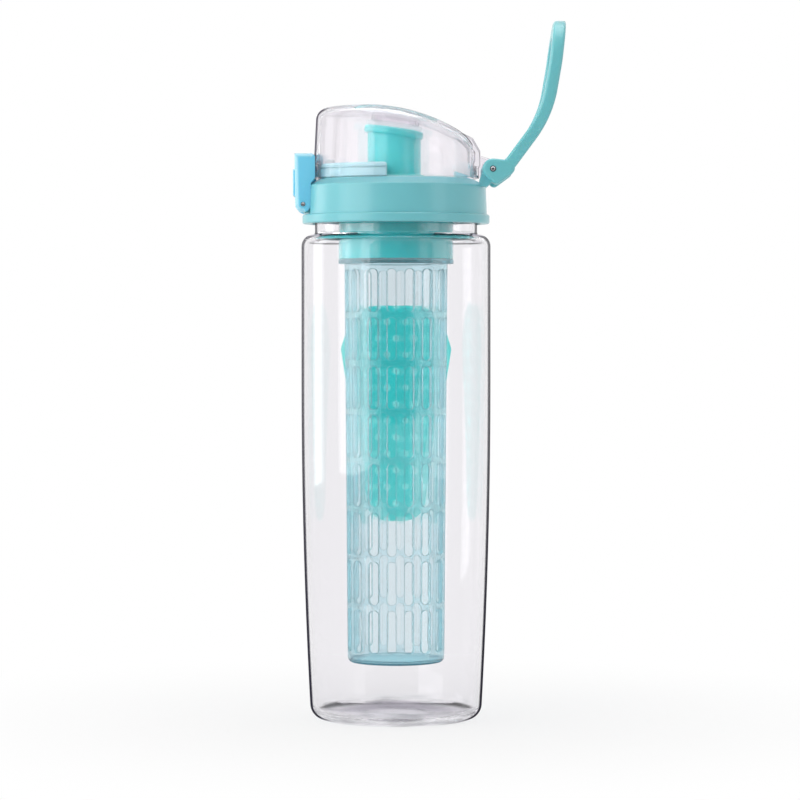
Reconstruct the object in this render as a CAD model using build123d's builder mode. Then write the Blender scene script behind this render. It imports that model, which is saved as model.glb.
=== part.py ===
from build123d import *
from math import cos, pi, radians, sin, sqrt
import os

# Fruit infuser water bottle, in millimetres, +Z up, with its origin at the centre of the base.
# The latch faces -X, the hinge and the carry loop face +X, and the grip pad faces +Y.

# Clearances and overruns
moving_gap = 0.3          # between pieces that move past each other
fixed_gap = 0.2           # between pieces that sit one inside the other
pin_gap = 0.06            # radial play of a pin in what turns on it
overrun = 5.0             # how far a cutter runs past what it cuts

# Bottle
body_r = 42.5             # widest radius, where the wall runs straight
base_taper = 4.3          # how much narrower the wall would be at the table
base_corner_r = 6.5
taper_top_z = 150.0
shoulder_z = 217.5
shoulder_r = 5.4
neck_step = 6.05          # from the body's radius in to the neck's
neck_h = 19.0
neck_lip_r = 0.6
wall_t = 2.2
neck_wall_t = 2.1
floor_t = 3.0
foot_w = 12.2             # width of the ring that the bottle stands on, with its corner
punt_h = 4.0
base_r = body_r - base_taper
foot_in_r = base_r - foot_w
neck_r = body_r - neck_step
neck_top_z = shoulder_z + neck_h

# Grip pad, a soft shield bonded into a shallow recess of the bottle
pad_drop = 31.5           # from the shoulder down to the pad's top
pad_h = 100.0
pad_brow_h = 20.0         # from the pad's top down to its widest place
pad_top_half_w = 20.0
pad_wide_half_w = 26.5
pad_bottom_half_w = 13.5
pad_corner_r = 8.0
pad_waist_r = 12.0
pad_foot_r = 11.0
pad_seat_depth = 0.8
pad_bond_gap = 0.1
pad_proud = 0.8
pad_top_z = shoulder_z - pad_drop
pad_wide_z = pad_top_z - pad_brow_h
pad_bottom_z = pad_top_z - pad_h

# Neck gasket, a flat silicone ring between the neck and the lid
gasket_t = 1.2
gasket_w = 1.75
gasket_gap = 0.25
gasket_r = neck_r - fixed_gap

# Lid collar
thread_room = 1.55        # between the neck and the collar, for the thread
collar_wall_t = 2.4
collar_draft = 0.5
collar_skirt_h = 16.0
flange_proud = 1.2
flange_h = 4.2
flange_edge_r = 0.9
collar_shoulder_up = 1.0  # heights above the collar's floor
collar_rim_up = 3.9
collar_slope_w = 5.2
collar_rim_w = 1.6
collar_edge_r = 0.7
collar_floor_z = neck_top_z + 2 * gasket_gap + gasket_t
collar_bore_r = neck_r + thread_room
collar_r = collar_bore_r + collar_wall_t
collar_foot_r = collar_r + collar_draft
flange_r = collar_foot_r + flange_proud
flange_z = collar_floor_z - collar_skirt_h
flange_top_z = flange_z + flange_h
collar_shoulder_z = collar_floor_z + collar_shoulder_up
collar_rim_z = collar_floor_z + collar_rim_up
collar_rim_r = collar_r - collar_slope_w

# Lid deck, the floor under the flip cover, and where the spout stands on it
spout_x = -0.8
deck_t = 4.4
deck_ledge_w = 2.1
deck_seat_t = 1.2
platform_h = 6.1          # the raised front of the deck
platform_gap = 0.9        # round the platform, to the cover
platform_back = 3.2       # how far behind the spout's front half it ends
platform_edge_r = 1.2
platform_groove_drop = 2.2
platform_groove_d = 0.6
platform_groove_h = 0.5
tongue_l = 5.5            # the sloping tongue below the hinge
tongue_in = 1.6
tongue_half_w = 9.0
tongue_h = 3.0
tongue_low_h = 1.0
deck_r = collar_rim_r - collar_rim_w - fixed_gap
deck_boss_r = deck_r - deck_ledge_w
deck_seat_z = collar_floor_z + deck_seat_t
deck_top_z = collar_floor_z + deck_t
platform_top_z = deck_top_z + platform_h
tongue_out_x = deck_r - tongue_in
tongue_in_x = tongue_out_x - tongue_l

# Hinge, shared by the flip cover and the carry loop
hinge_out = 2.67          # outside the collar
hinge_up = 3.6            # above the deck
hinge_pin_r = 1.3
knuckle_in_y = 4.6        # the cover's two knuckles run from here
knuckle_w = 4.0
knuckle_r = 4.4
knuckle_foot_up = 1.5
knuckle_foot_h = 8.8
ear_w = 5.5
ear_r = 4.2
ear_foot_in = 3.4
ear_foot_out = 0.1
arm_w = 6.0
hinge_x = collar_r + hinge_out
hinge_z = deck_top_z + hinge_up
knuckle_out_y = knuckle_in_y + knuckle_w
ear_in_y = knuckle_out_y + moving_gap
ear_out_y = ear_in_y + ear_w
arm_in_y = ear_out_y + moving_gap
arm_out_y = arm_in_y + arm_w

# Hinge spring round the pin, between the cover's knuckles
spring_wire_r = 0.4
spring_wire_sides = 6
spring_mean_r = 2.6
spring_pitch = 2.0
spring_half_turns = 7     # an odd number brings both legs to the lid's side
spring_leg = 4.0

# Flip cover
cover_in = 3.1            # how far inside the collar's side it stands
cover_lift = 0.1          # its open edge above the deck
cover_h = 31.6
cover_draft = 1.6
cover_wall_t = 2.2
cover_edge_r = 5.5
cover_flat_in = 14.2      # the roof is level from here to the front of the spout's axis
cover_brow_in = 11.3      # inside the cover's side, where the roof starts to bend down
cover_brow_drop = 9.9
cover_rear_out = 0.7      # the roof's arc ends this far behind the side
cover_rear_up = 5.6       # and this far above the hinge
hump_half_w = 12.0        # the hump in front of the hinge, with its corners
hump_end_in, hump_end_up = 5.47, 8.3        # inside and above the hinge
hump_back_in, hump_back_drop = 8.8, 14.0    # inside the hinge and below the roof
hump_top_in, hump_top_drop = 16.1, 10.5
hump_front_in, hump_front_drop = 28.1, 8.3
cover_r = collar_r - cover_in
cover_bottom_z = deck_top_z + cover_lift
cover_roof_z = cover_bottom_z + cover_h
platform_r = cover_r - cover_wall_t - platform_gap

# Drinking spout
spout_r = 12.0
spout_wall_t = 2.5
spout_flange_w = 2.0
spout_flange_t = 1.5
spout_foot_r = 0.9
rim_proud = 1.3
rim_h = 3.4
rim_edge_r = 1.0
rim_tilt_deg = 8.0
rim_room = 9.2            # from the middle of the sloping rim to the cover's roof
spout_bore_r = spout_r - spout_wall_t
spout_flange_r = spout_r + spout_flange_w
rim_r = spout_r + rim_proud
rim_mid_z = cover_roof_z - rim_room

# Vent valve on the platform
vent_in = 4.3
vent_cap_r = 2.3
vent_cap_h = 2.5
vent_cap_edge_r = 0.8
vent_stem_r = 1.1
vent_x = vent_in - platform_r

# Latch, the pin that it turns on and the catch that it holds
latch_pin_out = 1.0       # outside the collar
latch_pin_drop = 7.5      # below the collar's floor
latch_pin_r = 0.9
latch_knuckle_r = 2.9
latch_knuckle_half_w = 11.2
latch_root_r = 3.6
latch_face_out = 3.9      # from the pin to the outer face
latch_side_in = 1.2       # the cheeks reach this far inside the cover's side
latch_step_low_up = 2.0   # above the collar's floor
latch_step_top_up = 4.2
latch_top_up = 10.8       # above the cover's open edge
latch_top_round_r = 2.0
cheek_t = 2.5
web_t = 1.8
groove_gap = 0.4
catch_half_w = 7.0
catch_out = 2.1
catch_h = 4.0
catch_up = 3.5
catch_edge_r = 0.8
hook_gap = 0.5
thumb_proud = 0.8
thumb_h = 12.3
thumb_half_w = 10.0
thumb_edge_r = 0.6
latch_pin_x = -collar_r - latch_pin_out
latch_pin_z = collar_floor_z - latch_pin_drop
latch_out_x = latch_pin_x - latch_face_out
latch_in_x = latch_side_in - cover_r
latch_neck_x = latch_pin_x + latch_root_r
latch_step_low_z = collar_floor_z + latch_step_low_up
latch_step_top_z = collar_floor_z + latch_step_top_up
latch_top_z = cover_bottom_z + latch_top_up
catch_bottom_z = cover_bottom_z + catch_up
hook_bottom_z = catch_bottom_z + catch_h + hook_gap
hook_in_x = -cover_r - moving_gap
web_bottom_z = latch_pin_z + latch_root_r

# Spout seal, a soft disc with a low plug, on a ring inside the flip cover
seal_proud = 0.6          # outside the spout
seal_t = 2.0
seal_gap = 0.3
plug_gap = 1.9            # round the plug, inside the spout's bore
plug_draft = 0.8
plug_h = 1.5
seat_ring_in = 1.2
seat_ring_t = 2.0
seal_r = spout_r + seal_proud
plug_r = spout_bore_r - plug_gap
seat_ring_r = spout_r - seat_ring_in

# Carry loop, with the corners of its bend counted from the hinge
loop_band_t = 5.6
loop_pivot_r = 4.6
loop_h = 67.2
loop_bar_h = 8.5
loop_outer_round_r = 19.0
loop_inner_round_r = 12.5
loop_elbow_out, loop_elbow_up, loop_elbow_r = 6.3, 0.5, 9.0
loop_knee_out, loop_knee_up, loop_knee_r = 24.0, 24.4, 50.0
loop_bend_out, loop_bend_up, loop_bend_r = 28.0, 47.5, 60.0
loop_tip_out = 30.5
loop_root_r = 3.5         # the thick root, round the elbow
loop_heel_out, loop_heel_drop, loop_heel_r = 1.53, 4.5, 2.3

# Infuser adapter under the deck
adapter_r = 25.9
adapter_wall_t = 1.4
adapter_h = 31.6
adapter_bore_r = adapter_r - adapter_wall_t
adapter_bottom_z = collar_floor_z - adapter_h

# Infuser basket
basket_bottom_z = 25.5
basket_flange_t = 2.0
basket_neck_h = 12.0
basket_thread_room = 1.1
basket_step = 0.2         # from the neck in to the slotted wall
basket_taper = 1.5
basket_bottom_edge_r = 2.0
basket_wall_t = 1.6
basket_floor_t = 2.2
slot_w = 4.3
slot_h = 19.2
slot_pitch_z = 21.7
slot_pitch_x = 8.3
slot_low_gap = 5.3        # from the basket's bottom to the lowest row
slot_top_gap = 1.5
slot_groups = 4           # slides of the mould, a quarter turn apart
slots_in_group = 4
slot_group_deg = 5.3      # where the first slide looks, from -Y
basket_neck_r = adapter_bore_r - basket_thread_room
basket_top_r = basket_neck_r - basket_step
basket_bottom_r = basket_top_r - basket_taper
basket_flange_top_z = adapter_bottom_z - moving_gap
basket_flange_z = basket_flange_top_z - basket_flange_t
basket_neck_top_z = basket_flange_top_z + basket_neck_h

os.makedirs("parts", exist_ok=True)


def save(part, name):
    """Label a finished piece and write its STEP file."""
    part.label = name
    export_step(part, f"parts/{name}.step")


def half_section(out, bottom_z, dome_h, top_z, neck):
    """The bottle's half section, moved outwards by out, with its floor at bottom_z."""
    shoulder_at = (body_r + out, shoulder_z + out)
    corner_at = (base_r + out, bottom_z)
    with BuildSketch() as section:
        with BuildLine():
            TangentArc((0, bottom_z + dome_h), (foot_in_r, bottom_z), tangent=(1, 0))
            Line((foot_in_r, bottom_z), corner_at)
            TangentArc((body_r + out, taper_top_z), corner_at, tangent=(0, -1))
            Polyline((body_r + out, taper_top_z), shoulder_at, (neck, shoulder_z + out),
                     (neck, top_z), (0, top_z), (0, bottom_z + dome_h))
        make_face()
        fillet(section.vertices().sort_by_distance(corner_at)[0], base_corner_r + out)
        fillet(section.vertices().sort_by_distance(shoulder_at)[0], shoulder_r)
    return section.sketch


def wall_band(out, deep):
    """A revolved skin that follows the bottle's wall, from out proud of it to deep below."""
    with BuildPart() as band:
        with BuildSketch(Plane.XZ):
            add(half_section(out, 0, punt_h, shoulder_z + 2 * overrun, body_r / 2))
            add(half_section(-deep, 0, punt_h, shoulder_z + 3 * overrun, body_r / 2),
                mode=Mode.SUBTRACT)
        revolve(axis=Axis.Z)
    return band.part


def shield(grow):
    """The grip pad's outline, seen from the front, grown by grow."""
    with BuildSketch() as outline:
        with BuildLine():
            Polyline((0, pad_top_z), (pad_top_half_w, pad_top_z), (pad_wide_half_w, pad_wide_z),
                     (pad_bottom_half_w, pad_bottom_z), (0, pad_bottom_z))
            mirror(about=Plane.YZ)
        make_face()
        rows = outline.vertices().group_by(Axis.Y)
        corners = [v for v in rows[-1] + rows[0] if abs(v.X) > pad_bottom_half_w / 2]
        fillet([v for v in corners if v.Y > pad_wide_z], pad_corner_r)
        fillet(outline.vertices().sort_by_distance((pad_wide_half_w, pad_wide_z))[0], pad_waist_r)
        fillet(outline.vertices().sort_by_distance((-pad_wide_half_w, pad_wide_z))[0], pad_waist_r)
        fillet(outline.vertices().sort_by_distance((pad_bottom_half_w, pad_bottom_z))[0], pad_foot_r)
        fillet(outline.vertices().sort_by_distance((-pad_bottom_half_w, pad_bottom_z))[0], pad_foot_r)
        if grow:
            offset(amount=grow)
    return outline.sketch


# Bottle
with BuildPart() as pad_recess:
    with BuildSketch(Plane.XZ):
        add(shield(fixed_gap))
    extrude(amount=-(body_r + overrun))
    add(wall_band(overrun, pad_seat_depth), mode=Mode.INTERSECT)

with BuildPart() as bottle_body:
    with BuildSketch(Plane.XZ):
        add(half_section(0, 0, punt_h, neck_top_z, neck_r))
        add(half_section(-wall_t, floor_t, punt_h, neck_top_z + overrun, neck_r - neck_wall_t),
            mode=Mode.SUBTRACT)
    revolve(axis=Axis.Z)
    fillet(bottle_body.edges().group_by(Axis.Z)[-1], neck_lip_r)
    add(pad_recess.part, mode=Mode.SUBTRACT)
save(bottle_body.part, "bottle_body")

# Grip pad
with BuildPart() as grip_pad:
    with BuildSketch(Plane.XZ):
        add(shield(0))
    extrude(amount=-(body_r + overrun))
    add(wall_band(pad_proud, pad_seat_depth - pad_bond_gap), mode=Mode.INTERSECT)
save(grip_pad.part, "grip_pad")

# Neck gasket
with BuildPart() as neck_gasket:
    with BuildSketch(Plane.XY.offset(neck_top_z + gasket_gap)):
        Circle(gasket_r)
        Circle(gasket_r - gasket_w, mode=Mode.SUBTRACT)
    extrude(amount=gasket_t)
save(neck_gasket.part, "neck_gasket")

# Lid collar, with the hinge ears at the back and the latch knuckle at the front
groove_floor_x = latch_neck_x + groove_gap
with BuildSketch() as ear_outline:
    with Locations((hinge_x, hinge_z)):
        Circle(ear_r)
    with Locations((collar_r - ear_foot_in, collar_shoulder_z)):
        Rectangle(ear_foot_in - ear_foot_out, collar_edge_r, align=(Align.MIN, Align.MAX))
    make_hull()
    with Locations((hinge_x, hinge_z)):
        Circle(hinge_pin_r, mode=Mode.SUBTRACT)

with BuildPart() as lid_collar:
    with BuildSketch(Plane.XZ) as collar_section:
        with BuildLine():
            Polyline((collar_bore_r, flange_z), (flange_r, flange_z), (flange_r, flange_top_z),
                     (collar_foot_r, flange_top_z),
                     (collar_r, collar_shoulder_z), (collar_rim_r, collar_rim_z),
                     (deck_r + fixed_gap, collar_rim_z), (deck_r + fixed_gap, deck_seat_z),
                     (deck_boss_r + fixed_gap, deck_seat_z),
                     (deck_boss_r + fixed_gap, collar_floor_z), (collar_bore_r, collar_floor_z),
                     close=True)
        make_face()
        fillet(collar_section.vertices().group_by(Axis.X)[-1], flange_edge_r)
        fillet(collar_section.vertices().sort_by_distance((collar_r, collar_shoulder_z))[0],
               collar_edge_r)
    revolve(axis=Axis.Z)
    # cheek grooves beside the latch knuckle
    with BuildSketch(Plane.XZ):
        with BuildLine():
            Polyline((latch_out_x, flange_top_z), (groove_floor_x, flange_top_z),
                     (groove_floor_x, latch_step_low_z), (latch_in_x, latch_step_top_z),
                     (latch_out_x, latch_step_top_z), close=True)
        make_face()
    extrude(amount=latch_knuckle_half_w + cheek_t + 2 * moving_gap, both=True, mode=Mode.SUBTRACT)
    # what the grooves leave between them, with the knuckle that holds the latch pin
    with BuildSketch(Plane.XY.offset(flange_z)):
        Circle(collar_r)
        Circle(collar_bore_r, mode=Mode.SUBTRACT)
        Rectangle(flange_r, 2 * latch_knuckle_half_w, align=(Align.MAX, Align.CENTER),
                  mode=Mode.INTERSECT)
    extrude(amount=collar_shoulder_z - flange_z)
    with BuildSketch(Plane.XZ):
        with Locations((latch_pin_x, latch_pin_z)):
            Circle(latch_knuckle_r)
            Rectangle(latch_root_r, 2 * latch_root_r, align=(Align.MIN, Align.CENTER))
        make_hull()
    extrude(amount=latch_knuckle_half_w, both=True)
    with BuildSketch(Plane.XZ):
        with Locations((latch_pin_x, latch_pin_z)):
            Circle(latch_pin_r)
    extrude(amount=latch_knuckle_half_w + overrun, both=True, mode=Mode.SUBTRACT)
    # hinge ears
    for ear_plane in (Plane.XZ.offset(ear_in_y), Plane.XZ.offset(-ear_out_y)):
        with BuildSketch(ear_plane):
            add(ear_outline.sketch)
        extrude(amount=ear_w)
save(lid_collar.part, "lid_collar")

# Lid deck
with BuildPart() as lid_deck:
    with BuildSketch(Plane.XY.offset(collar_floor_z)):
        Circle(deck_boss_r)
    extrude(amount=deck_top_z - collar_floor_z)
    with BuildSketch(Plane.XY.offset(deck_seat_z)):
        Circle(deck_r)
    extrude(amount=deck_top_z - deck_seat_z)
    with BuildSketch(Plane.XY.offset(deck_top_z)):
        Circle(platform_r)
        with Locations((spout_x - platform_back, 0)):
            Rectangle(2 * platform_r, 2 * platform_r, align=(Align.MAX, Align.CENTER),
                      mode=Mode.INTERSECT)
    extrude(amount=platform_top_z - deck_top_z)
    fillet(lid_deck.edges().group_by(Axis.Z)[-1], platform_edge_r)
    with BuildSketch(Plane.XZ):
        with Locations((platform_r, platform_top_z - platform_groove_drop)):
            Rectangle(2 * platform_groove_d, platform_groove_h)
    revolve(axis=Axis.Z, mode=Mode.SUBTRACT)
    with BuildSketch(Plane.XZ):
        with BuildLine():
            Polyline((tongue_in_x, deck_top_z), (tongue_out_x, deck_top_z),
                     (tongue_out_x, deck_top_z + tongue_low_h),
                     (tongue_in_x, deck_top_z + tongue_h), close=True)
        make_face()
    extrude(amount=tongue_half_w, both=True)
    with BuildSketch(Plane.XY.offset(deck_top_z)):
        with Locations((spout_x, 0)):
            Circle(spout_flange_r + fixed_gap)
    extrude(amount=platform_top_z, mode=Mode.SUBTRACT)
    with Locations((spout_x, 0, deck_top_z)):
        Hole(spout_r + fixed_gap / 2)
    with Locations((vent_x, 0, platform_top_z)):
        Hole(vent_stem_r + fixed_gap)
save(lid_deck.part, "lid_deck")

# Drinking spout, whose rim slopes down towards the hinge
rim_tilt = radians(rim_tilt_deg)
rim_plane = Plane(origin=(spout_x, 0, rim_mid_z), x_dir=(cos(rim_tilt), 0, -sin(rim_tilt)),
                  z_dir=(sin(rim_tilt), 0, cos(rim_tilt)))

with BuildPart() as drinking_spout:
    with BuildSketch(Plane.XY.offset(collar_floor_z)):
        with Locations((spout_x, 0)):
            Circle(spout_r)
    extrude(amount=rim_mid_z + overrun - collar_floor_z)
    split(bisect_by=rim_plane, keep=Keep.BOTTOM)
    with BuildSketch(rim_plane):
        Circle(rim_r)
    extrude(amount=-rim_h)
    fillet(drinking_spout.edges().filter_by(GeomType.CIRCLE).sort_by(SortBy.RADIUS)[-2:],
           rim_edge_r)
    with BuildSketch(Plane.XY.offset(deck_top_z)):
        with Locations((spout_x, 0)):
            Circle(spout_flange_r)
    extrude(amount=spout_flange_t)
    flange_edges = drinking_spout.edges().filter_by(GeomType.CIRCLE).sort_by(SortBy.RADIUS)[-2:]
    fillet(flange_edges.sort_by(Axis.Z)[-1], spout_foot_r)
    with BuildSketch(Plane.XY.offset(collar_floor_z - overrun)):
        with Locations((spout_x, 0)):
            Circle(spout_bore_r)
    extrude(amount=rim_mid_z + 2 * overrun, mode=Mode.SUBTRACT)
save(drinking_spout.part, "drinking_spout")

# Vent valve
with BuildPart() as vent_valve:
    with BuildSketch(Plane.XY.offset(platform_top_z)):
        with Locations((vent_x, 0)):
            Circle(vent_cap_r)
    extrude(amount=vent_cap_h)
    fillet(vent_valve.edges().group_by(Axis.Z)[-1], vent_cap_edge_r)
    with BuildSketch(Plane.XY.offset(collar_floor_z)):
        with Locations((vent_x, 0)):
            Circle(vent_stem_r)
    extrude(amount=platform_top_z - collar_floor_z)
save(vent_valve.part, "vent_valve")

# Hinge pin and latch pin
with BuildPart() as hinge_pin:
    with BuildSketch(Plane.XZ):
        with Locations((hinge_x, hinge_z)):
            Circle(hinge_pin_r)
    extrude(amount=arm_out_y, both=True)
save(hinge_pin.part, "hinge_pin")

with BuildPart() as latch_pin:
    with BuildSketch(Plane.XZ):
        with Locations((latch_pin_x, latch_pin_z)):
            Circle(latch_pin_r)
    extrude(amount=latch_knuckle_half_w + moving_gap + cheek_t, both=True)
save(latch_pin.part, "latch_pin")


# Hinge spring
def coil_point(half_turns):
    """A point on the coil's centre line, and its direction, after so many half turns."""
    angle = -pi / 2 + half_turns * pi
    y = (half_turns - spring_half_turns / 2) * spring_pitch / 2
    point = Vector(hinge_x + spring_mean_r * cos(angle), y, hinge_z + spring_mean_r * sin(angle))
    slope = Vector(-sin(angle) * spring_mean_r, spring_pitch / (2 * pi), cos(angle) * spring_mean_r)
    return point, slope.normalized()


def biarc(start, start_dir, end, end_dir):
    """Two arcs that leave start along start_dir and reach end along end_dir."""
    chord = end - start
    along = chord.dot(start_dir + end_dir)
    turn = 2 * (1 - start_dir.dot(end_dir))
    reach = (sqrt(along ** 2 + turn * chord.dot(chord)) - along) / turn
    meet = (start + end + (start_dir - end_dir) * reach) / 2
    meet_dir = (end - end_dir * reach - start - start_dir * reach).normalized()
    return TangentArc(start, meet, tangent=start_dir), TangentArc(meet, end, tangent=meet_dir)


spring_first, spring_first_dir = coil_point(0)
spring_last, spring_last_dir = coil_point(spring_half_turns)
with BuildPart() as hinge_spring:
    with BuildLine() as spring_line:
        Line(spring_first - spring_first_dir * spring_leg, spring_first)
        for quarter in range(2 * spring_half_turns):
            biarc(*coil_point(quarter / 2), *coil_point((quarter + 1) / 2))
        Line(spring_last, spring_last + spring_last_dir * spring_leg)
    with BuildSketch(Plane(spring_line.line @ 0, z_dir=spring_line.line % 0)):
        RegularPolygon(spring_wire_r, spring_wire_sides)
    sweep(path=spring_line.line)
save(hinge_spring.part, "hinge_spring")

spring_samples = [coil_point(n / 24)[0] for n in range(24 * spring_half_turns + 1)]
spring_self_gap = min((a - b).length for i, a in enumerate(spring_samples)
                      for b in spring_samples[i + 24:]) - 2 * spring_wire_r
print(f"hinge_spring least self-gap {spring_self_gap:.3f} mm")

# Infuser adapter
with BuildPart() as infuser_adapter:
    with BuildSketch(Plane.XY.offset(adapter_bottom_z)):
        Circle(adapter_r)
        Circle(adapter_bore_r, mode=Mode.SUBTRACT)
    extrude(amount=collar_floor_z - adapter_bottom_z)
save(infuser_adapter.part, "infuser_adapter")

# Latch: two cheeks on the pin, a web between them, a hook over the catch and a thumb rest
cheek_y = latch_knuckle_half_w + moving_gap
with BuildPart() as latch:
    with BuildSketch(Plane.XZ) as cheek_outline:
        with BuildLine():
            Polyline((latch_pin_x - latch_root_r, latch_pin_z), (latch_out_x, latch_top_z),
                     (latch_in_x, latch_top_z), (latch_in_x, latch_step_top_z),
                     (latch_neck_x, latch_step_low_z), (latch_neck_x, latch_pin_z), close=True)
        make_face()
        fillet(cheek_outline.vertices().sort_by_distance((latch_in_x, latch_top_z))[0],
               latch_top_round_r)
        with Locations((latch_pin_x, latch_pin_z)):
            Circle(latch_root_r)
            Circle(latch_pin_r + pin_gap, mode=Mode.SUBTRACT)
    extrude(amount=cheek_y + cheek_t, both=True)
    with BuildSketch(Plane.XZ) as room_outline:
        with BuildLine():
            Polyline((latch_out_x - overrun, latch_pin_z - overrun),
                     (latch_out_x - overrun, web_bottom_z),
                     (latch_out_x + web_t, web_bottom_z), (latch_out_x + web_t, hook_bottom_z),
                     (hook_in_x, hook_bottom_z), (hook_in_x, latch_top_z + overrun),
                     (latch_in_x + overrun, latch_top_z + overrun),
                     (latch_in_x + overrun, latch_pin_z - overrun), close=True)
        make_face()
    extrude(amount=cheek_y, both=True, mode=Mode.SUBTRACT)
    with BuildSketch(Plane.YZ.offset(latch_out_x + web_t / 2)):
        with Locations((0, web_bottom_z + thumb_h / 2)):
            RectangleRounded(2 * thumb_half_w, thumb_h, 2 * thumb_edge_r)
    extrude(amount=-thumb_proud - web_t / 2)
    fillet(latch.faces().sort_by(Axis.X)[0].edges(), thumb_edge_r)
save(latch.part, "latch")


# Flip cover
def cover_form(inset):
    """The cover's solid form, a tapered drum under a curved roof, moved inwards by inset."""
    taper = cover_draft / cover_h
    low_z = cover_bottom_z - (overrun if inset else 0)
    low_r = cover_r - inset + taper * (cover_bottom_z - low_z)
    high_z = cover_roof_z + overrun
    high_r = cover_r - inset - taper * (high_z - cover_bottom_z)
    side_x = cover_r + overrun
    hump_low_z = cover_bottom_z + overrun
    with BuildPart() as form:
        with BuildSketch(Plane.XZ):
            with BuildLine():
                Polyline((0, low_z), (low_r, low_z), (high_r, high_z), (0, high_z), close=True)
            make_face()
        revolve(axis=Axis.Z)
        with BuildSketch(Plane.XZ):
            with BuildLine():
                brow = TangentArc((spout_x - cover_flat_in, cover_roof_z),
                                  (cover_r - cover_brow_in, cover_roof_z - cover_brow_drop),
                                  tangent=(1, 0))
                nape = TangentArc(brow @ 1, (cover_r + cover_rear_out, hinge_z + cover_rear_up),
                                  tangent=brow % 1)
                Polyline(brow @ 0, (-side_x, cover_roof_z), (-side_x, low_z), (side_x, low_z),
                         (side_x, hinge_z), nape @ 1)
            make_face()
            if inset:
                offset(amount=-inset, kind=Kind.INTERSECTION)
                with Locations((0, low_z)):
                    Rectangle(2 * side_x, 2 * inset)
        extrude(amount=side_x, both=True, mode=Mode.INTERSECT)
        curved = form.edges().filter_by(GeomType.LINE, reverse=True)
        fillet(curved.sort_by(Axis.Z)[1:], cover_edge_r - inset)
        with BuildSketch(Plane.XZ) as hump_outline:
            with BuildLine():
                Polyline((hinge_x - hump_front_in, hump_low_z),
                         (hinge_x - hump_front_in, cover_roof_z - hump_front_drop),
                         (hinge_x - hump_top_in, cover_roof_z - hump_top_drop),
                         (hinge_x - hump_back_in, cover_roof_z - hump_back_drop),
                         (hinge_x - hump_end_in, hinge_z + hump_end_up),
                         (hinge_x - hump_end_in, hump_low_z), close=True)
            make_face()
            if inset:
                offset(amount=-inset, kind=Kind.INTERSECTION)
        extrude(amount=hump_half_w - inset, both=True)
    return form.part


cover_seat_plane = rim_plane.offset(seal_gap + seal_t)
with BuildPart() as seat_ring:
    with BuildSketch(cover_seat_plane):
        Circle(seat_ring_r)
        Circle(seat_ring_r - seat_ring_t, mode=Mode.SUBTRACT)
    extrude(amount=cover_roof_z - rim_mid_z)
    add(cover_form(cover_wall_t / 2), mode=Mode.INTERSECT)

with BuildPart() as flip_cover:
    add(cover_form(0))
    add(cover_form(cover_wall_t), mode=Mode.SUBTRACT)
    add(seat_ring.part)
    # the catch under the latch's hook
    with BuildSketch(Plane.XY.offset(catch_bottom_z)) as catch_outline:
        with Locations((-cover_r - catch_out, 0)):
            Rectangle(catch_out + cover_wall_t / 2, 2 * catch_half_w,
                      align=(Align.MIN, Align.CENTER))
        fillet(catch_outline.vertices().group_by(Axis.X)[0], catch_edge_r)
    extrude(amount=catch_h)
    # the knuckles that turn on the hinge pin
    for knuckle_plane in (Plane.XZ.offset(knuckle_in_y), Plane.XZ.offset(-knuckle_out_y)):
        with BuildSketch(knuckle_plane):
            with Locations((hinge_x, hinge_z)):
                Circle(knuckle_r)
            with Locations((cover_r - cover_wall_t / 2, cover_bottom_z + knuckle_foot_up)):
                Rectangle(cover_wall_t / 2, knuckle_foot_h, align=(Align.MAX, Align.MIN))
            make_hull()
            with Locations((hinge_x, hinge_z)):
                Circle(hinge_pin_r + pin_gap, mode=Mode.SUBTRACT)
        extrude(amount=knuckle_w)
save(flip_cover.part, "flip_cover")

# Spout seal
seal_plane = rim_plane.offset(seal_gap)
with BuildPart() as spout_seal:
    with BuildSketch(seal_plane):
        Circle(seal_r)
    extrude(amount=seal_t)
    with BuildSketch(seal_plane):
        Circle(plug_r)
    with BuildSketch(seal_plane.offset(-plug_h)):
        Circle(plug_r - plug_draft)
    loft()
save(spout_seal.part, "spout_seal")

# Carry loop, a bent band cut to a loop whose two arms turn on the hinge pin
loop_top_z = hinge_z + loop_h
loop_reach = loop_h + loop_pivot_r + overrun
with BuildSketch() as loop_gap:
    with Locations((0, loop_top_z - loop_bar_h)):
        Rectangle(2 * arm_in_y, loop_reach, align=(Align.CENTER, Align.MAX))
    fillet(loop_gap.vertices().group_by(Axis.Y)[-1], loop_inner_round_r)

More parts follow.
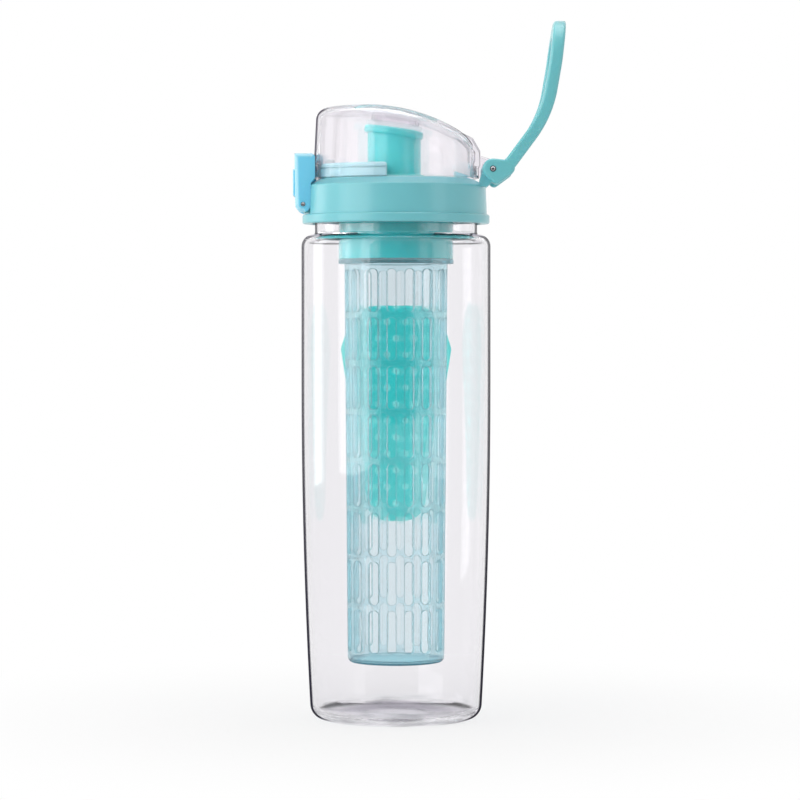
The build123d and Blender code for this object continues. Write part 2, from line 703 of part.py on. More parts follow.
with BuildPart() as carry_loop:
    with BuildSketch(Plane.XZ):
        with BuildLine():
            FilletPolyline((hinge_x, hinge_z),
                           (hinge_x + loop_elbow_out, hinge_z + loop_elbow_up),
                           (hinge_x + loop_knee_out, hinge_z + loop_knee_up),
                           (hinge_x + loop_bend_out, hinge_z + loop_bend_up),
                           (hinge_x + loop_tip_out, loop_top_z),
                           radius=[loop_elbow_r, loop_knee_r, loop_bend_r])
        trace(line_width=loop_band_t)
    extrude(amount=arm_out_y, both=True)
    with BuildSketch(Plane.XZ):
        with Locations((hinge_x, hinge_z)):
            Circle(loop_pivot_r)
        with Locations((hinge_x + loop_heel_out, hinge_z - loop_heel_drop)):
            Circle(loop_heel_r)
        with Locations((hinge_x + loop_elbow_out, hinge_z + loop_elbow_up)):
            Circle(loop_root_r)
        make_hull()
    extrude(amount=arm_out_y, both=True)
    with BuildSketch(Plane.YZ) as loop_front:
        with Locations((0, loop_top_z)):
            Rectangle(2 * arm_out_y, loop_reach, align=(Align.CENTER, Align.MAX))
        fillet(loop_front.vertices().group_by(Axis.Y)[-1], loop_outer_round_r)
        add(loop_gap.sketch, mode=Mode.SUBTRACT)
    extrude(amount=hinge_x + loop_tip_out + overrun, mode=Mode.INTERSECT)
    with BuildSketch(Plane.XZ):
        with Locations((hinge_x, hinge_z)):
            Circle(hinge_pin_r + pin_gap)
    extrude(amount=arm_out_y + overrun, both=True, mode=Mode.SUBTRACT)
save(carry_loop.part, "carry_loop")

# Infuser basket, slotted in four groups that each open along their own mould slide
slot_low_z = basket_bottom_z + slot_low_gap + slot_h / 2      # middle of the lowest row
slot_room = basket_flange_z - slot_top_gap - slot_h / 2 - slot_low_z
slot_rows = 1 + int(slot_room / slot_pitch_z)
slot_middle_z = slot_low_z + slot_pitch_z * (slot_rows - 1) / 2

with BuildPart() as infuser_basket:
    with BuildSketch(Plane.XZ) as basket_section:
        with BuildLine():
            Polyline((0, basket_bottom_z), (basket_bottom_r, basket_bottom_z),
                     (basket_top_r, basket_flange_z), (adapter_r, basket_flange_z),
                     (adapter_r, basket_flange_top_z),
                     (basket_neck_r, basket_flange_top_z), (basket_neck_r, basket_neck_top_z),
                     (basket_neck_r - basket_wall_t, basket_neck_top_z),
                     (basket_bottom_r - basket_wall_t, basket_bottom_z + basket_floor_t),
                     (0, basket_bottom_z + basket_floor_t), close=True)
        make_face()
        fillet(basket_section.vertices().sort_by_distance((basket_bottom_r, basket_bottom_z))[0],
               basket_bottom_edge_r)
    revolve(axis=Axis.Z)
    for slide in range(slot_groups):
        look = radians(slot_group_deg + 360 / slot_groups * slide)
        slide_plane = Plane(origin=(0, 0, slot_middle_z), x_dir=(cos(look), sin(look), 0),
                            z_dir=(sin(look), -cos(look), 0))
        with BuildSketch(slide_plane.offset(basket_bottom_r / 2)):
            with GridLocations(slot_pitch_x, slot_pitch_z, slots_in_group, slot_rows):
                Rectangle(slot_w, slot_h)
        extrude(amount=basket_top_r, mode=Mode.SUBTRACT)
save(infuser_basket.part, "infuser_basket")
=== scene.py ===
"""Looks of a fruit infuser water bottle: clear bottle, slotted basket, flip-top lid, latch and carry loop.

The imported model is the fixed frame. Lengths are in millimetres until a mesh is finished, and in metres after.
"""

import logging
from collections.abc import Callable
from dataclasses import dataclass
from enum import Enum
from functools import cache, reduce
from math import asin, atan2, copysign, cos, pi, radians, sin, sqrt, tan

import bmesh
import bpy
from bmesh.types import BMEdge, BMVert
from bpy.types import ID, Material, NodeSocket, Object, World
from mathutils import Matrix, Vector


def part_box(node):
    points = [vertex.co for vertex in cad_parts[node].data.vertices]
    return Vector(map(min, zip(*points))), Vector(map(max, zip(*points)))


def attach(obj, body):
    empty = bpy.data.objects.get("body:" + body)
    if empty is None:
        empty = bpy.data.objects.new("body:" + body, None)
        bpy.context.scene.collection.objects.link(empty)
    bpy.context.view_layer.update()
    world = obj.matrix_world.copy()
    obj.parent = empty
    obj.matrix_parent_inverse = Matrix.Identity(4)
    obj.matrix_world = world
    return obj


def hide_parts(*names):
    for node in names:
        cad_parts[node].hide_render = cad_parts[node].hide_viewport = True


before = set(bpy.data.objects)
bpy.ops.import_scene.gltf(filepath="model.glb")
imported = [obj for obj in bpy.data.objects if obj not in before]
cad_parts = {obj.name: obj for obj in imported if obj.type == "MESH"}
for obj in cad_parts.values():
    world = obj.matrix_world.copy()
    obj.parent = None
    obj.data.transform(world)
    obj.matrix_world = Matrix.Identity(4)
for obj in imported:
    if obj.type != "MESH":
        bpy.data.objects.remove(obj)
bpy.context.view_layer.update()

Triple = tuple[float, float, float]
Span = tuple[float, float]

LOG = logging.getLogger("bottle")
MM = 0.001
WHITE = (1.0, 1.0, 1.0, 1.0)
Z_AXIS = (0.0, 0.0, 1.0)
# In millimetres: vertices nearer than NEAR are made one, and those within ON_FACE of a plane lie on it.
NEAR = 1e-3
ON_FACE = 0.01
# Edges that turn by more than SHARP are rounded, and those by less than FLAT aren't edges.
SHARP = radians(50)
FLAT = radians(1)
# The fewest and the most segments of a section's rounded corner.
LEAST_ROUND = 3
MOST_ROUND = 10
# The grip pad's top edge and the pitch of its dots, which its mesh and its finish share, in millimetres.
PAD_TOP_Z = 186.0
DOT_PITCH = 9.0
DOT_ROW_PITCH = 7.65


class Slot(Enum):
    """The record's material slots."""

    CLEAR = "clear_plastic"
    COVER = "cover_plastic"
    BASKET = "basket_plastic"
    LID = "lid_plastic"
    SPOUT = "spout_plastic"
    LATCH = "latch_plastic"
    GRIP = "grip_silicone"
    SEAL = "seal_silicone"
    STEEL = "steel"


class Signal:
    """One output of a shader node, on which arithmetic adds Math nodes."""

    def __init__(self, graph: "Graph", socket: NodeSocket) -> None:
        """Keep the socket and the graph that it belongs to."""
        self.graph = graph
        self.socket = socket

    def _math(self, operation: str, first: "Signal | float", second: "Signal | float") -> "Signal":
        """Add one Math node on two values or links."""
        return self.graph.add("ShaderNodeMath", {"operation": operation}, {0: first, 1: second})

    def __add__(self, other: "Signal | float") -> "Signal":
        """Sum."""
        return self._math("ADD", self, other)

    __radd__ = __add__

    def __sub__(self, other: "Signal | float") -> "Signal":
        """Difference."""
        return self._math("SUBTRACT", self, other)

    def __rsub__(self, other: float) -> "Signal":
        """Difference from a number."""
        return self._math("SUBTRACT", other, self)

    def __mul__(self, other: "Signal | float") -> "Signal":
        """Product."""
        return self._math("MULTIPLY", self, other)

    __rmul__ = __mul__

    def __pow__(self, other: float) -> "Signal":
        """Power."""
        return self._math("POWER", self, other)

    def __or__(self, other: "Signal") -> "Signal":
        """The larger of two values, as either mask."""
        return self._math("MAXIMUM", self, other)

    def whole(self) -> "Signal":
        """The nearest whole number."""
        return self._math("ROUND", self, 0.0)


class Graph:
    """The node tree of a material or of the surround."""

    def __init__(self, owner: Material | World) -> None:
        """Start with an empty tree."""
        owner.use_nodes = True
        self.tree = owner.node_tree
        self.tree.nodes.clear()

    def add(self, kind: str, settings: dict | None = None, inputs: dict | None = None,
            out: int | str = 0) -> Signal | None:
        """Add one node.

        Args:
            kind: the node's type.
            settings: attributes that are set before its inputs.
            inputs: values or signals, by socket name or number; None leaves the socket as it is.
            out: the output that is returned.

        Returns:
            The chosen output, or nothing where the node has none.
        """
        node = self.tree.nodes.new(kind)
        for name, value in (settings or {}).items():
            setattr(node, name, value)
        for name, value in (inputs or {}).items():
            if isinstance(value, Signal):
                self.tree.links.new(value.socket, node.inputs[name])
            elif value is not None:
                node.inputs[name].default_value = value
        return Signal(self, node.outputs[out]) if node.outputs else None

    def mix(self, share: Signal | float, first: Signal, second: Signal) -> Signal:
        """A shader that turns from the first into the second by a share."""
        return self.add("ShaderNodeMixShader", inputs={0: share, 1: first, 2: second})

    def matt(self, color: Triple) -> Signal:
        """A matt surface."""
        return self.add("ShaderNodeBsdfDiffuse", inputs={"Color": (*color, 1.0)})

    def see_through(self, color: Triple) -> Signal:
        """A surface that only tints what is behind it."""
        return self.add("ShaderNodeBsdfTransparent", inputs={"Color": (*color, 1.0)})

    def white(self, strength: float) -> Signal:
        """A white surround of a strength."""
        return self.add("ShaderNodeBackground", inputs={"Color": WHITE, "Strength": strength})

    def ray(self, *kinds: str) -> Signal:
        """1 for a ray of one of some kinds, by their names in Light Path, and 0 for others."""
        masks = (self.add("ShaderNodeLightPath", out=f"Is {kind} Ray") for kind in kinds)
        return reduce(Signal.__or__, masks)

    def place(self) -> Signal:
        """Object coordinates."""
        return self.add("ShaderNodeTexCoord", out="Object")

    def along(self, axis: str, vector: Signal | None = None) -> Signal:
        """The X, Y or Z of a vector, or of the object coordinates."""
        return self.add("ShaderNodeSeparateXYZ", inputs={"Vector": vector or self.place()}, out=axis)

    def vectors(self, operation: str, *values: Signal | Triple, out: int | str = 0) -> Signal:
        """One Vector Math node."""
        return self.add("ShaderNodeVectorMath", {"operation": operation}, dict(enumerate(values)), out=out)

    def noise(self, size: float, detail: float = 2.0, stretch: float = 1.0) -> Signal:
        """Noise of about 0.5, with blotches of a height in millimetres that are drawn out sideways."""
        place = self.vectors("MULTIPLY", self.place(), (1.0 / stretch, 1.0 / stretch, 1.0))
        return self.add("ShaderNodeTexNoise", out="Fac", inputs={
            "Vector": place, "Scale": 1.0 / (size * MM), "Detail": detail})

    def smooth(self, value: Signal, low: float, high: float) -> Signal:
        """A smooth step from 0 at the low value to 1 at the high one."""
        return self.add("ShaderNodeMapRange", {"interpolation_type": "SMOOTHSTEP"},
                        {"Value": value, "From Min": low, "From Max": high})

    def flat_place(self) -> Signal:
        """Object coordinates, flattened onto the table."""
        return self.vectors("MULTIPLY", self.place(), (1.0, 1.0, 0.0))

    def by_height(self, start: float, end: float) -> Signal:
        """A smooth step from 0 at one height to 1 at another, in millimetres."""
        return self.smooth(self.along("Z"), start * MM, end * MM)

    def facing(self) -> Signal:
        """0 where the surface is seen square on, and 1 at its outline."""
        return self.add("ShaderNodeLayerWeight", inputs={"Blend": 0.5}, out="Facing")

    def turned_out(self) -> Signal:
        """The share of the surface's normal that points straight away from the axis, from -1 to 1."""
        away = self.vectors("NORMALIZE", self.flat_place())
        return self.vectors("DOT_PRODUCT", away, self.add("ShaderNodeTexCoord", out="Normal"), out="Value")

    def dot_rows(self, across: float, up: float, top: float) -> Signal:
        """How far the nearest dot of a staggered grid in X and Z is.

        Args:
            across: the pitch of the dots in a row, in millimetres.
            up: the pitch of the rows.
            top: the height of the row above the first.

        Returns:
            The distance, in metres.
        """
        x, z = self.along("X"), self.along("Z")
        rise = (top * MM - z) * (1.0 / (up * MM))
        row = rise.whole()
        half = row * 0.5
        column = x * (1.0 / (across * MM)) - (half - half.whole())
        off_x, off_z = (column - column.whole()) * (across * MM), (rise - row) * (up * MM)
        return (off_x * off_x + off_z * off_z) ** 0.5

    def shades(self, low: Triple | Signal, high: Triple, mask: Signal) -> Signal:
        """A colour that turns from the low one into the high one by a mask."""
        inputs = {"Factor": mask, 6: low if isinstance(low, Signal) else (*low, 1.0), 7: (*high, 1.0)}
        return self.add("ShaderNodeMix", {"data_type": "RGBA"}, inputs, out=2)

    def bump(self, height: Signal, depth: float, strength: float, normal: Signal | None = None) -> Signal:
        """A normal with a bump of a depth in millimetres, laid on the plain one or on another."""
        inputs = {"Height": height, "Distance": depth * MM, "Strength": strength, "Normal": normal}
        return self.add("ShaderNodeBump", inputs=inputs)

    def finish(self, surface: Signal, volume: Signal | None = None) -> None:
        """Link the surface and the volume to the output."""
        self.add("ShaderNodeOutputMaterial", inputs={"Surface": surface, "Volume": volume})


def lighter(color: Triple, share: float) -> Triple:
    """A colour made lighter, or darker below 1."""
    return tuple(min(1.0, value * share) for value in color)


@dataclass(frozen=True)
class Finish:
    """A finish, with its material's name and the record's slot that it stands for."""

    name: str
    slot: Slot

    @cache
    def material(self) -> Material:
        """Make its material, once.

        Returns:
            The material.
        """
        material = bpy.data.materials.new(self.name)
        self.fill(Graph(material))
        return material

    def fill(self, graph: Graph) -> None:
        """Add the nodes of the finish to a graph."""
        raise NotImplementedError


@dataclass(frozen=True)
class ClearPlastic(Finish):
    """Clear moulded plastic, tinted by its thickness, with a painted dark outline for the shade that thick
    walls show.

    A span is where a smooth step starts and ends. Those of walls, cuts and lines are read on turned_out or
    its square, those of outlines on facing, and heights are in millimetres.
    """

    tint: Triple
    deep: Triple
    absorbs: Triple
    density: float
    deep_span: Span = (0.15, 0.8)
    # edge is the colour of the painted dark outline and lines: painted shade for the dark that refraction gives
    # at thick walls and slot edges.
    edge: Triple = (0.02, 0.018, 0.035)
    edge_share: float = 0.98
    edge_faint: float = 0.75
    edge_heights: Span = (230.0, 30.0)
    edge_span: Span = (0.725, 0.8)
    wall_span: Span = (0.45, 0.65)
    # roof_edge paints the same dark outline where the roof is seen edge-on.
    roof_edge: float = 0.0
    roof_span: Span = (0.93, 0.98)
    cut: Triple | None = None
    cut_share: float = 0.0
    cut_span: Span = (0.35, 0.1)
    line_share: float = 0.0
    line_span: Span = (0.82, 0.6)
    line_end_span: Span = (0.1, 0.3)
    # Painted shade: grey streaks low on the wall, for the streaks that refraction draws in the thick base.
    painted_streak_shade: Triple = (0.16, 0.16, 0.18)
    painted_streak_share: float = 0.0
    painted_streak_heights: Span = (5.8, 3.4)
    painted_streak_size: float = 2.4
    painted_streak_stretch: float = 8.0
    painted_streak_span: Span = (0.42, 0.7)
    thin_share: float = 0.0
    roughness: float = 0.02
    haze: float = 14.0
    ior: float = 1.46

    def fill(self, graph: Graph) -> None:
        """Add the nodes of the finish.

        Args:
            graph: the material's empty graph.
        """
        facing, out = graph.facing(), graph.turned_out()
        thin, dark = graph.see_through(self.tint), graph.matt(self.edge)
        clear = graph.add("ShaderNodeBsdfPrincipled", inputs={
            "Base Color": graph.shades(self.tint, self.deep, graph.smooth(facing, *self.deep_span)),
            "Roughness": graph.noise(self.haze, 3.0) * self.roughness + self.roughness / 2,
            "IOR": self.ior, "Transmission Weight": 1.0,
        })
        surface = graph.mix(self.thin_share, clear, thin)
        across = graph.smooth(out * out, *self.cut_span) * self.cut_share
        surface = graph.mix(across, surface, graph.matt(self.cut) if self.cut else thin)
        # Painted shade: grey streaks low on the wall.
        if self.painted_streak_share:
            streaks = graph.smooth(graph.noise(self.painted_streak_size, 4.0, self.painted_streak_stretch), *self.painted_streak_span)
            low = graph.by_height(*self.painted_streak_heights) * streaks
            surface = graph.mix(low * self.painted_streak_share, surface, graph.matt(self.painted_streak_shade))
        # Painted shade: dark lines where a face turns partly sideways, as round the slots.
        if self.line_share:
            line = graph.smooth(out * out, *self.line_span) * graph.smooth(out * out, *self.line_end_span)
            surface = graph.mix(line * self.line_share, surface, dark)
        # Painted shade: a dark matt outline where the wall is seen edge-on, stronger low down; shadow rays pass
        # clear through.
        depth = graph.by_height(*self.edge_heights) * (self.edge_share - self.edge_faint) + self.edge_faint
        wall = graph.smooth(facing, *self.edge_span) * graph.smooth(out, *self.wall_span) * depth
        rim = wall | graph.smooth(facing, *self.roof_span) * self.roof_edge
        surface = graph.mix(graph.ray("Shadow"), graph.mix(rim, surface, dark), thin)
        volume = graph.add("ShaderNodeVolumeAbsorption", inputs={
            "Color": (*self.absorbs, 1.0), "Density": self.density})
        graph.finish(surface, volume)


@dataclass(frozen=True)
class MouldedPlastic(Finish):
    """Opaque moulded plastic with a fine spark-eroded grain, softened edges and, where given, a painted sheen,
    in millimetres.
    """

    color: Triple
    roughness: float = 0.36
    coat: float = 0.15
    glow: float = 0.08
    glow_depth: float = 4.0
    coat_roughness: float = 0.2
    edge: float = 0.35
    edge_samples: int = 4
    cloud: float = 22.0
    cloud_shade: float = 0.04
    cloud_roughness: float = 0.1
    grain: float = 0.35
    grain_depth: float = 0.02
    grain_share: float = 0.35
    grain_roughness: float = 0.04
    # A paler colour painted where the surface turns away from the sides: a painted sheen.
    painted_sheen: Triple | None = None
    painted_sheen_span: Span = (0.998, 0.75)

    def fill(self, graph: Graph) -> None:
        """Add the nodes of the finish.

        Args:
            graph: the material's empty graph.
        """
        cloud, grain = graph.noise(self.cloud), graph.noise(self.grain)
        edges = graph.add("ShaderNodeBevel", {"samples": self.edge_samples}, {"Radius": self.edge * MM})
        low, high = lighter(self.color, 1 - self.cloud_shade), lighter(self.color, 1 + self.cloud_shade)
        color = graph.shades(low, high, cloud)
        # Painted sheen: paler wherever the normal turns away from the Y axis.
        if self.painted_sheen:
            sideways = graph.along("Y", graph.add("ShaderNodeTexCoord", out="Normal"))
            color = graph.shades(color, self.painted_sheen, graph.smooth(sideways * sideways, *self.painted_sheen_span))
        least = self.roughness - self.cloud_roughness / 2
        graph.finish(graph.add("ShaderNodeBsdfPrincipled", inputs={
            "Base Color": color,
            "Roughness": cloud * self.cloud_roughness + least + grain * self.grain_roughness,
            "Coat Weight": self.coat, "Coat Roughness": self.coat_roughness,
            "Subsurface Weight": self.glow, "Subsurface Scale": self.glow_depth * MM,
            "Normal": graph.bump(grain, self.grain_depth, self.grain_share, edges),
        }))


@dataclass(frozen=True)
class SoftSilicone(Finish):
    """Translucent silicone with a matt, cloudy skin, brighter where it has dots, in millimetres."""

    color: Triple
    glass: Triple
    through: float = 0.45
    clear: float = 0.6
    clear_swing: float = 0.5
    least_roughness: float = 0.43
    roughness_swing: float = 0.15
    cloud: float = 9.0
    cloud_dark: float = 0.92
    cloud_light: float = 1.06
    grain: float = 0.6
    grain_depth: float = 0.03
    grain_share: float = 0.4
    dots: Triple | None = None
    drop: Triple = (0.75, 1.0, 0.98)
    drop_share: float = 0.85
    drop_from: float = 2.0
    drop_to: float = 1.1

    def fill(self, graph: Graph) -> None:
        """Add the nodes of the finish.

        Args:
            graph: the material's empty graph.
        """
        cloud = graph.noise(self.cloud, 3.0)
        normal = graph.bump(graph.noise(self.grain), self.grain_depth, self.grain_share)
        low, high = lighter(self.color, self.cloud_dark), lighter(self.color, self.cloud_light)
        skin = graph.add("ShaderNodeBsdfPrincipled", inputs={
            "Base Color": graph.shades(low, high, cloud),
            "Roughness": cloud * self.roughness_swing + self.least_roughness, "Normal": normal})
        glow = graph.add("ShaderNodeBsdfTranslucent", inputs={"Color": (*self.color, 1.0), "Normal": normal})
        share = cloud * self.clear_swing + (self.clear - self.clear_swing / 2)
        surface = graph.mix(share, graph.mix(self.through, skin, glow), graph.see_through(self.glass))
        if self.dots:
            near = graph.smooth(graph.dot_rows(*self.dots), self.drop_from * MM, self.drop_to * MM)
            surface = graph.mix(near * self.drop_share, surface, graph.see_through(self.drop))
        graph.finish(surface)


@dataclass(frozen=True)
class BrightSteel(Finish):
    """Bright drawn wire and pins, with streaks in millimetres."""

    # Darker than bare steel: painted shade for the dark surroundings that the pins and the spring mirror.
    color: Triple = (0.3, 0.31, 0.34)
    roughness: float = 0.24
    roughness_swing: float = 0.16
    streak: float = 0.4
    streak_shade: float = 0.85
    streak_depth: float = 0.01
    streak_share: float = 0.3

    def fill(self, graph: Graph) -> None:
        """Add the nodes of the finish.

        Args:
            graph: the material's empty graph.
        """
        streaks = graph.noise(self.streak, 3.0)
        graph.finish(graph.add("ShaderNodeBsdfPrincipled", inputs={
            "Base Color": graph.shades(lighter(self.color, self.streak_shade), self.color, streaks),
            "Metallic": 1.0,
            "Roughness": streaks * self.roughness_swing + (self.roughness - self.roughness_swing / 2),
            "Normal": graph.bump(streaks, self.streak_depth, self.streak_share),
        }))


# The bottle's dark outline is painted shade.
BODY_CLEAR = ClearPlastic(
    "bottle_clear", Slot.CLEAR, (0.965, 0.96, 0.97), (0.95, 0.945, 0.955), (0.52, 0.49, 0.57), density=36.0,
    cut_share=0.92, cut_span=(0.62, 0.25), painted_streak_share=0.32)
# The cover's grey outline, along its roof too, is painted shade.
COVER_CLEAR = ClearPlastic(
    "cover_clear", Slot.COVER, (0.955, 0.94, 0.96), (0.92, 0.905, 0.935), (0.6, 0.57, 0.66), density=12.0,
    edge=(0.07, 0.06, 0.09), edge_share=0.9, edge_faint=0.9, edge_span=(0.74, 0.83), roof_edge=0.6,
    cut_share=0.3, thin_share=0.15, ior=1.35)
# The basket's outline and slot lines are painted shade, in a dark teal that carries the plastic's own tint.
BASKET_CLEAR = ClearPlastic(
    "basket_clear", Slot.BASKET, (0.89, 0.955, 0.972), (0.89, 0.985, 0.99), (0.16, 0.76, 0.82), density=58.0,
    edge=(0.02, 0.2, 0.28), edge_share=0.4, edge_faint=0.3, edge_span=(0.8, 0.93),
    cut=(0.42, 0.88, 0.94), cut_share=0.28, cut_span=(0.45, 0.2), line_share=1.0, thin_share=0.35, ior=1.4)
LID_AQUA = MouldedPlastic("lid_aqua", Slot.LID, (0.175, 0.595, 0.655), 0.38, 0.6)
# Painted reflection: the deck is the lid's plastic made paler for the key light that the clear cover mirrors
# over it.
DECK_AQUA_PAINTED_REFLECTION = MouldedPlastic("deck_aqua_painted_reflection", Slot.LID, (0.42, 0.72, 0.76), 0.4, 0.35)
LOOP_AQUA = MouldedPlastic("loop_aqua", Slot.LID, (0.165, 0.59, 0.635), 0.3, 0.4)
ADAPTER_AQUA = MouldedPlastic("adapter_aqua", Slot.LID, (0.02, 0.63, 0.65), 0.15, 1.0)
SPOUT_TEAL = MouldedPlastic("spout_teal", Slot.SPOUT, (0.085, 0.64, 0.63), 0.26, 0.5, 0.12)
# Painted sheen: the latch is paler on its front, top and rounded shoulders, where light catches it.
LATCH_BLUE = MouldedPlastic("latch_blue", Slot.LATCH, (0.18, 0.68, 0.94), 0.33, 0.4,
                            painted_sheen=(0.38, 0.79, 0.96))
GRIP_TEAL = SoftSilicone("grip_teal", Slot.GRIP, (0.03, 0.9, 0.86), (0.07, 0.98, 0.95), clear=0.66,
                         dots=(DOT_PITCH, DOT_ROW_PITCH, PAD_TOP_Z))
DOT_TEAL = SoftSilicone("dot_teal", Slot.GRIP, (0.5, 0.95, 0.92), (0.9, 0.99, 0.985), clear=0.85)
SEAL_PALE = SoftSilicone("seal_pale", Slot.SEAL, (0.7, 0.76, 0.77), (0.96, 0.975, 0.98), 0.4, 0.8)
STEEL = BrightSteel("pin_steel", Slot.STEEL)
# Painted highlight and painted shade on the pin ends: a bright steel for the face, a near-black one for the
# rim's gap and the recess.
PAINTED_HIGHLIGHT_STEEL = BrightSteel("painted_highlight_steel", Slot.STEEL, (0.85, 0.86, 0.9), 0.2)
PAINTED_SHADE_STEEL = BrightSteel("shadow_steel", Slot.STEEL, (0.03, 0.03, 0.04), 0.35)


def dress(piece: Object, finish: Finish) -> None:
    """Give a piece its finish and report it.

    Args:
        piece: the piece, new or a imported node.
        finish: the finish.
    """
    piece.data.materials.clear()
    piece.data.materials.append(finish.material())
    LOG.info("%s: %s", piece.name, finish.name)


def put(name: str, data: ID) -> Object:
    """Put a new object into the scene.

    Args:
        name: its name.
        data: its mesh, lamp or camera.

    Returns:
        The object.
    """
    made = bpy.data.objects.new(name, data)
    bpy.context.scene.collection.objects.link(made)
    return made


def box_of(node: str) -> tuple[Vector, Vector]:
    """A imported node's lowest and highest corners, in millimetres."""
    low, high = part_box(node)
    return low / MM, high / MM


def middle_of(node: str) -> Vector:
    """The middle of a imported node's box, in millimetres."""
    low, high = box_of(node)
    return (low + high) / 2


def only(kind: type, geometry: list) -> list:
    """The vertices or edges among what an operator made."""
    return [item for item in geometry if isinstance(item, kind)]


class Shape:
    """A bmesh in millimetres that becomes one finished piece."""

    def __init__(self) -> None:
        """Start empty."""
        self.bm = bmesh.new()

    def spin(self, corners: list[Triple], steps: int = 96) -> "Shape":
        """Turn a closed section with rounded corners round the Z axis.

        Args:
            corners: the section's points in the XZ plane, as x, z and the corner's radius.
            steps: how many segments the turn has.

        Returns:
            This shape.
        """
        made = [self.bm.verts.new((x, 0.0, z)) for x, z, _ in corners]
        self.bm.faces.new(made)
        for vert, (_, _, radius) in zip(made, corners):
            if radius:
                self._round(vert, radius)
        bmesh.ops.delete(self.bm, geom=self.bm.faces[:], context="FACES_ONLY")
        bmesh.ops.spin(self.bm, geom=self.bm.verts[:] + self.bm.edges[:], cent=(0, 0, 0), axis=Z_AXIS,
                       angle=2 * pi, steps=steps, use_merge=True)
        return self.heal()

    def _round(self, vert: BMVert, radius: float) -> None:
        """Round one corner of a section, a wide one with more segments.

        Args:
            vert: the corner.
            radius: its round's radius.
        """
        first, second = (e.other_vert(vert).co - vert.co for e in vert.link_edges)
        setback = radius / tan(first.angle(second) / 2)
        segments = max(LEAST_ROUND, min(MOST_ROUND, int(LEAST_ROUND + 1 + radius)))
        bmesh.ops.bevel(self.bm, geom=[vert], offset=setback, offset_type="OFFSET", segments=segments,
                        profile=0.5, affect="VERTICES", material=-1)

    def heal(self, gap: float = NEAR / 10) -> "Shape":
        """Merge doubles and turn the faces outwards.

        Args:
            gap: vertices nearer than this are made one.

        Returns:
            This shape.
        """
        bmesh.ops.remove_doubles(self.bm, verts=self.bm.verts, dist=gap)
        bmesh.ops.recalc_face_normals(self.bm, faces=self.bm.faces)
        return self

    def copy_of(self, node: str) -> "Shape":
        """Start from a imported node's solid, merged, with its flat faces whole.

        Args:
            node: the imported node.

        Returns:
            This shape.
        """
        self.bm.from_mesh(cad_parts[node].data)
        bmesh.ops.scale(self.bm, vec=(1 / MM, 1 / MM, 1 / MM), verts=self.bm.verts)
        bmesh.ops.remove_doubles(self.bm, verts=self.bm.verts, dist=NEAR)
        bmesh.ops.dissolve_limit(self.bm, angle_limit=FLAT, verts=self.bm.verts, edges=self.bm.edges)
        return self

    def round_edges(self, chosen: Callable[[Vector], bool], radius: float, segments: int) -> "Shape":
        """Round the sharp edges that a test chooses and that don't cross the plane of symmetry.

        Args:
            chosen: the test, of an end of the edge; both ends have to pass.
            radius: the rounding's radius.
            segments: its segments.

        Returns:
            This shape.
        """
        edges = [e for e in self.bm.edges
                 if e.is_manifold and e.calc_face_angle() > SHARP
                 and e.verts[0].co.y * e.verts[1].co.y > 0 and all(chosen(v.co) for v in e.verts)]
        bmesh.ops.bevel(self.bm, geom=edges, offset=radius, offset_type="OFFSET", segments=segments,
                        profile=0.5, affect="EDGES", material=-1)
        return self

    def move(self, x: float = 0.0, y: float = 0.0, z: float = 0.0) -> "Shape":
        """Move the whole shape."""
        bmesh.ops.translate(self.bm, vec=(x, y, z), verts=self.bm.verts)
        return self

    def turn(self, matrix: Matrix) -> "Shape":
        """Turn the whole shape by a matrix."""
        bmesh.ops.transform(self.bm, matrix=matrix, verts=self.bm.verts)
        return self

    def piece(self, name: str, body: str, finish: Finish, replaces: tuple[str, ...] = (),
              crease: float = 35.0) -> Object:
        """Turn the shape into a piece of the scene.

        Args:
            name: the piece's name.
            body: the body that it rides on.
            finish: its finish.
            replaces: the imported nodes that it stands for.
            crease: edges sharper than this angle stay sharp.

        Returns:
            The piece.
        """
        bmesh.ops.scale(self.bm, vec=(MM, MM, MM), verts=self.bm.verts)
        mesh = bpy.data.meshes.new(name)
        self.bm.to_mesh(mesh)
        self.bm.free()
        mesh.shade_smooth()
        mesh.set_sharp_from_angle(angle=radians(crease))
        made = put(name, mesh)
        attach(made, body)
        if replaces:
            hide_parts(*replaces)
        dress(made, finish)
        return made


@dataclass(frozen=True)
class Softbox:
    """A rectangular lamp that faces the bottle's middle."""

    name: str
    place: Triple
    size: Span
    watts: float
    aim_z: float = 150.0

    def build(self) -> None:
        """Make the lamp."""
        data = bpy.data.lights.new(self.name, "AREA")
        data.shape = "RECTANGLE"
        data.size, data.size_y = self.size[0] * MM, self.size[1] * MM
        data.energy = self.watts
        lamp = put(self.name, data)
        lamp.location = Vector(self.place) * MM
        aim = Vector((0.0, 0.0, self.aim_z * MM)) - lamp.location
        lamp.rotation_mode = "QUATERNION"
        lamp.rotation_quaternion = aim.to_track_quat("-Z", "Y")


